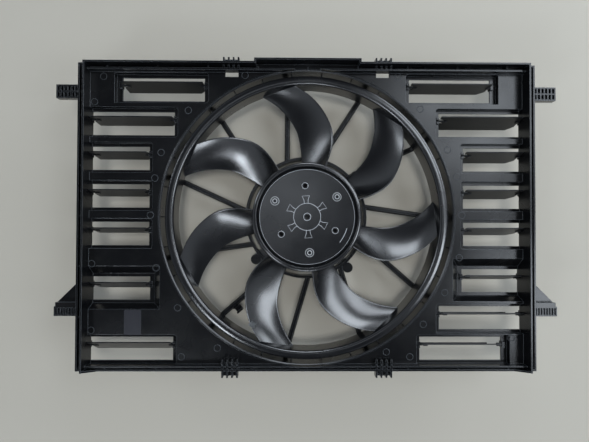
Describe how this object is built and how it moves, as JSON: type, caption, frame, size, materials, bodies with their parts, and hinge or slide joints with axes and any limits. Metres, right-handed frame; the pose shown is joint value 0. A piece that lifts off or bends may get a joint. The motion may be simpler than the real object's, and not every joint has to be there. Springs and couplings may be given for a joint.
{
  "type": "radiator fan shroud",
  "caption": "Moulded car radiator fan shroud with a ring fan on a brushless motor, hub struts, and hinged ram-air flaps in pockets on both side panels",
  "frame": {"origin": "on the fan axis, on the rear face of the motor cover, the lowest face when the shroud lies on its back", "axes": "+Z is the fan axis towards the radiator, +Y the top of the radiator, +X along its length"},
  "size_m": [0.74, 0.469, 0.105],
  "materials": {
    "shroud_plastic": "satin, fine moulded texture",
    "flap_plastic": "satin, moulded",
    "fan_plastic": "semi-gloss glass-filled nylon",
    "zinc_steel": "zinc plated",
    "drawn_steel": "zinc plated, drawn",
    "cast_aluminium": "die cast",
    "core_steel": "laminated electrical steel",
    "copper_wire": "enamelled copper wire",
    "bearing_steel": "ground",
    "ferrite": "sintered",
    "board_laminate": "solder resist",
    "cover_plastic": "moulded",
    "pin_tin": "tin plated"
  },
  "bodies": {
    "shroud": {"shroud_moulding": "shroud_plastic", "motor_base": "cast_aluminium", "electronics_cover": "cover_plastic", "circuit_board": "board_laminate", "motor_socket": "cover_plastic", "socket_pins": "pin_tin", "motor_screws": "zinc_steel", "stator_core": "core_steel", "stator_windings": "copper_wire", "bearing_rear": "bearing_steel", "bearing_front": "bearing_steel"},
    "fan": {"fan_wheel": "fan_plastic", "fan_screws": "zinc_steel", "balance_clip": "zinc_steel", "rotor_bell": "drawn_steel", "rotor_magnets": "ferrite", "motor_shaft": "bearing_steel"},
    "flap_left_1": {"flap_left_1": "flap_plastic"},
    "flap_left_2": {"flap_left_2": "flap_plastic"},
    "flap_left_3": {"flap_left_3": "flap_plastic"},
    "flap_left_4": {"flap_left_4": "flap_plastic"},
    "flap_left_5": {"flap_left_5": "flap_plastic"},
    "flap_left_6": {"flap_left_6": "flap_plastic"},
    "flap_left_7": {"flap_left_7": "flap_plastic"},
    "flap_right_1": {"flap_right_1": "flap_plastic"},
    "flap_right_2": {"flap_right_2": "flap_plastic"},
    "flap_right_3": {"flap_right_3": "flap_plastic"},
    "flap_right_4": {"flap_right_4": "flap_plastic"},
    "flap_right_5": {"flap_right_5": "flap_plastic"},
    "flap_right_6": {"flap_right_6": "flap_plastic"},
    "flap_right_7": {"flap_right_7": "flap_plastic"},
    "flap_right_8": {"flap_right_8": "flap_plastic"}
  },
  "joints": [
    {"name": "fan_spin", "type": "hinge", "parent": "shroud", "child": "fan", "pos_m": [0, 0, 0.06], "axis": [0, 0, 1], "continuous": true},
    {"name": "left_1_swing", "type": "hinge", "parent": "shroud", "child": "flap_left_1", "pos_m": [-0.216, 0.1975, 0.0756], "axis": [-1, 0, 0], "range_deg": [-11, 75.5]},
    {"name": "left_2_swing", "type": "hinge", "parent": "shroud", "child": "flap_left_2", "pos_m": [-0.261, 0.146, 0.0756], "axis": [-1, 0, 0], "range_deg": [-11, 75.5]},
    {"name": "left_3_swing", "type": "hinge", "parent": "shroud", "child": "flap_left_3", "pos_m": [-0.2795, 0.0935, 0.0756], "axis": [-1, 0, 0], "range_deg": [-12, 74.5]},
    {"name": "left_4_swing", "type": "hinge", "parent": "shroud", "child": "flap_left_4", "pos_m": [-0.2795, 0.03701, 0.0756], "axis": [-1, 0, 0], "range_deg": [-15, 71.5]},
    {"name": "left_5_swing", "type": "hinge", "parent": "shroud", "child": "flap_left_5", "pos_m": [-0.2795, -0.01949, 0.0756], "axis": [-1, 0, 0], "range_deg": [-15, 71.5]},
    {"name": "left_6_swing", "type": "hinge", "parent": "shroud", "child": "flap_left_6", "pos_m": [-0.2795, -0.102, 0.0696], "axis": [-1, 0, 0], "range_deg": [-22, 64.5]},
    {"name": "left_7_swing", "type": "hinge", "parent": "shroud", "child": "flap_left_7", "pos_m": [-0.261, -0.19101, 0.0756], "axis": [-1, 0, 0], "range_deg": [-31, 55.5]},
    {"name": "right_1_swing", "type": "hinge", "parent": "shroud", "child": "flap_right_1", "pos_m": [0.216, 0.1975, 0.0756], "axis": [-1, 0, 0], "range_deg": [-9, 77.5]},
    {"name": "right_2_swing", "type": "hinge", "parent": "shroud", "child": "flap_right_2", "pos_m": [0.261, 0.146, 0.0756], "axis": [-1, 0, 0], "range_deg": [-20, 66.5]},
    {"name": "right_3_swing", "type": "hinge", "parent": "shroud", "child": "flap_right_3", "pos_m": [0.2795, 0.0935, 0.0756], "axis": [-1, 0, 0], "range_deg": [-20, 66.5]},
    {"name": "right_4_swing", "type": "hinge", "parent": "shroud", "child": "flap_right_4", "pos_m": [0.2795, 0.03701, 0.0756], "axis": [-1, 0, 0], "range_deg": [-20, 66.5]},
    {"name": "right_5_swing", "type": "hinge", "parent": "shroud", "child": "flap_right_5", "pos_m": [0.2795, -0.01949, 0.0756], "axis": [-1, 0, 0], "range_deg": [-20, 66.5]},
    {"name": "right_6_swing", "type": "hinge", "parent": "shroud", "child": "flap_right_6", "pos_m": [0.2795, -0.09001, 0.0696], "axis": [-1, 0, 0], "range_deg": [-18, 68.5]},
    {"name": "right_7_swing", "type": "hinge", "parent": "shroud", "child": "flap_right_7", "pos_m": [0.261, -0.145, 0.0756], "axis": [-1, 0, 0], "range_deg": [-18, 68.5]},
    {"name": "right_8_swing", "type": "hinge", "parent": "shroud", "child": "flap_right_8", "pos_m": [0.2315, -0.19101, 0.0756], "axis": [-1, 0, 0], "range_deg": [-21, 65.5]}
  ]
}
